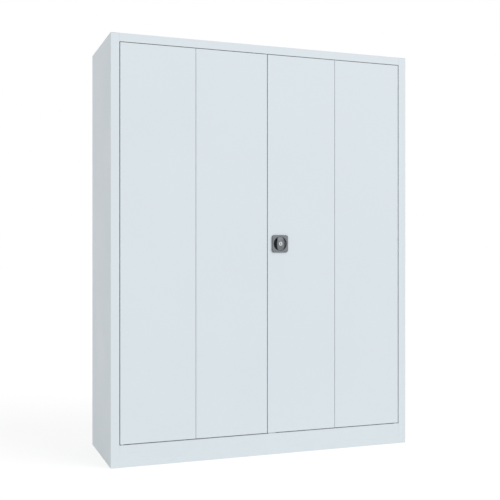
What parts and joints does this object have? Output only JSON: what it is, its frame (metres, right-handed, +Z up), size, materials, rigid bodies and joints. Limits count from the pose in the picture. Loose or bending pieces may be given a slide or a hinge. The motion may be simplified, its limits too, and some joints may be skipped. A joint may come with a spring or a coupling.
{
  "type": "folding door cabinet",
  "caption": "Wide free-standing sheet-steel cabinet with doors that fold to the sides, a turn handle with key lock, and adjustable shelves on both sides of a centre partition.",
  "frame": {"origin": "on the floor, in the middle of the overall width and of the overall depth, which runs from the key cylinder's face to the back panel", "axes": "+X to the right as seen from the front, +Y from the doors to the back, +Z up"},
  "size_m": [1.5, 0.511, 1.95],
  "materials": {
    "body_paint": "fine textured powder coat, light blue-grey, satin",
    "shelf_paint": "fine textured powder coat, light blue-grey, satin",
    "door_paint": "fine textured powder coat, light blue-grey, satin",
    "zinc": "zinc plated, dull bright",
    "steel": "bare turned steel",
    "chrome": "polished chrome plating",
    "nylon": "natural white nylon",
    "dark_plastic": "fine grained grey plastic"
  },
  "bodies": {
    "carcass": {"left_side_panel": "body_paint", "right_side_panel": "body_paint", "top_panel": "body_paint", "plinth": "body_paint", "bottom_panel": "body_paint", "back_panel": "body_paint", "centre_partition": "body_paint", "top_guide_rail": "zinc", "closing_ramp": "nylon", "left_shelf_1": "shelf_paint", "left_shelf_2": "shelf_paint", "left_shelf_3": "shelf_paint", "left_shelf_4": "shelf_paint", "right_shelf_1": "shelf_paint", "right_shelf_2": "shelf_paint", "right_shelf_3": "shelf_paint", "right_shelf_4": "shelf_paint", "left_bottom_bush": "nylon", "left_top_bush": "nylon", "right_bottom_bush": "nylon", "right_top_bush": "nylon"},
    "left_front_foot": {"left_front_foot": "zinc"},
    "left_rear_foot": {"left_rear_foot": "zinc"},
    "right_front_foot": {"right_front_foot": "zinc"},
    "right_rear_foot": {"right_rear_foot": "zinc"},
    "left_outer_door": {"left_outer_panel": "door_paint", "left_outer_stiffener": "door_paint", "left_top_pivot_pin": "steel", "left_bottom_pivot_pin": "steel", "left_hinge_outer_leaf": "door_paint", "left_hinge_pin": "steel"},
    "left_inner_door": {"left_inner_panel": "door_paint", "left_inner_stiffener": "door_paint", "left_hinge_inner_leaf": "door_paint", "left_guide_bracket": "steel", "closing_strip": "door_paint"},
    "left_roller": {"left_guide_roller": "nylon"},
    "right_outer_door": {"right_outer_panel": "door_paint", "right_outer_stiffener": "door_paint", "right_top_pivot_pin": "steel", "right_bottom_pivot_pin": "steel", "right_hinge_outer_leaf": "door_paint", "right_hinge_pin": "steel"},
    "right_inner_door": {"right_inner_panel": "door_paint", "right_inner_stiffener": "door_paint", "right_hinge_inner_leaf": "door_paint", "right_guide_bracket": "steel", "lock_plate": "dark_plastic", "lock_case": "zinc", "upper_rod_guide": "nylon", "lower_rod_guide": "nylon"},
    "right_roller": {"right_guide_roller": "nylon"},
    "handle": {"turn_handle": "dark_plastic", "cylinder_barrel": "chrome", "drive_spindle": "steel", "latch_tongue": "zinc", "tongue_nut": "zinc"},
    "key": {"key_plug": "chrome"},
    "upper_rod": {"upper_rod": "zinc"},
    "lower_rod": {"lower_rod": "zinc"}
  },
  "joints": [
    {"name": "left_door_swing", "type": "hinge", "parent": "carcass", "child": "left_outer_door", "pos_m": [-0.697, -0.2355, 1.006], "axis": [0, 0, -1], "range_deg": [0, 88]},
    {"name": "left_door_fold", "type": "hinge", "parent": "left_outer_door", "child": "left_inner_door", "pos_m": [-0.3545, -0.21975, 1.006], "axis": [0, 0, -1], "range_deg": [-176, 0]},
    {"name": "left_roller_spin", "type": "hinge", "parent": "left_inner_door", "child": "left_roller", "pos_m": [-0.012, -0.2355, 1.919], "axis": [0, 0, 1], "continuous": true},
    {"name": "right_door_swing", "type": "hinge", "parent": "carcass", "child": "right_outer_door", "pos_m": [0.697, -0.2355, 1.006], "axis": [0, 0, 1], "range_deg": [0, 88]},
    {"name": "right_door_fold", "type": "hinge", "parent": "right_outer_door", "child": "right_inner_door", "pos_m": [0.3545, -0.21975, 1.006], "axis": [0, 0, 1], "range_deg": [-176, 0]},
    {"name": "right_roller_spin", "type": "hinge", "parent": "right_inner_door", "child": "right_roller", "pos_m": [0.012, -0.2355, 1.919], "axis": [0, 0, 1], "continuous": true},
    {"name": "handle_turn", "type": "hinge", "parent": "right_inner_door", "child": "handle", "pos_m": [0.0635, -0.2445, 1.0065], "axis": [0, -1, 0], "range_deg": [0, 90]},
    {"name": "upper_rod_slide", "type": "slide", "parent": "right_inner_door", "child": "upper_rod", "axis": [0, 0, 1], "range_m": [0, 0.019]},
    {"name": "lower_rod_slide", "type": "slide", "parent": "right_inner_door", "child": "lower_rod", "axis": [0, 0, -1], "range_m": [0, 0.019]},
    {"name": "key_turn", "type": "hinge", "parent": "handle", "child": "key", "pos_m": [0.0635, -0.2445, 1.0065], "axis": [0, -1, 0], "range_deg": [0, 90]},
    {"name": "left_front_foot_screw", "type": "slide", "parent": "carcass", "child": "left_front_foot", "axis": [0, 0, -1], "range_m": [0, 0.02]},
    {"name": "left_rear_foot_screw", "type": "slide", "parent": "carcass", "child": "left_rear_foot", "axis": [0, 0, -1], "range_m": [0, 0.02]},
    {"name": "right_front_foot_screw", "type": "slide", "parent": "carcass", "child": "right_front_foot", "axis": [0, 0, -1], "range_m": [0, 0.02]},
    {"name": "right_rear_foot_screw", "type": "slide", "parent": "carcass", "child": "right_rear_foot", "axis": [0, 0, -1], "range_m": [0, 0.02]}
  ],
  "couplings": [
    {"joint": "left_door_fold", "follows": "left_door_swing", "ratio": -2},
    {"joint": "right_door_fold", "follows": "right_door_swing", "ratio": -2},
    {"joint": "upper_rod_slide", "follows": "handle_turn", "m_per_rad": 0.012},
    {"joint": "lower_rod_slide", "follows": "handle_turn", "m_per_rad": 0.012}
  ]
}
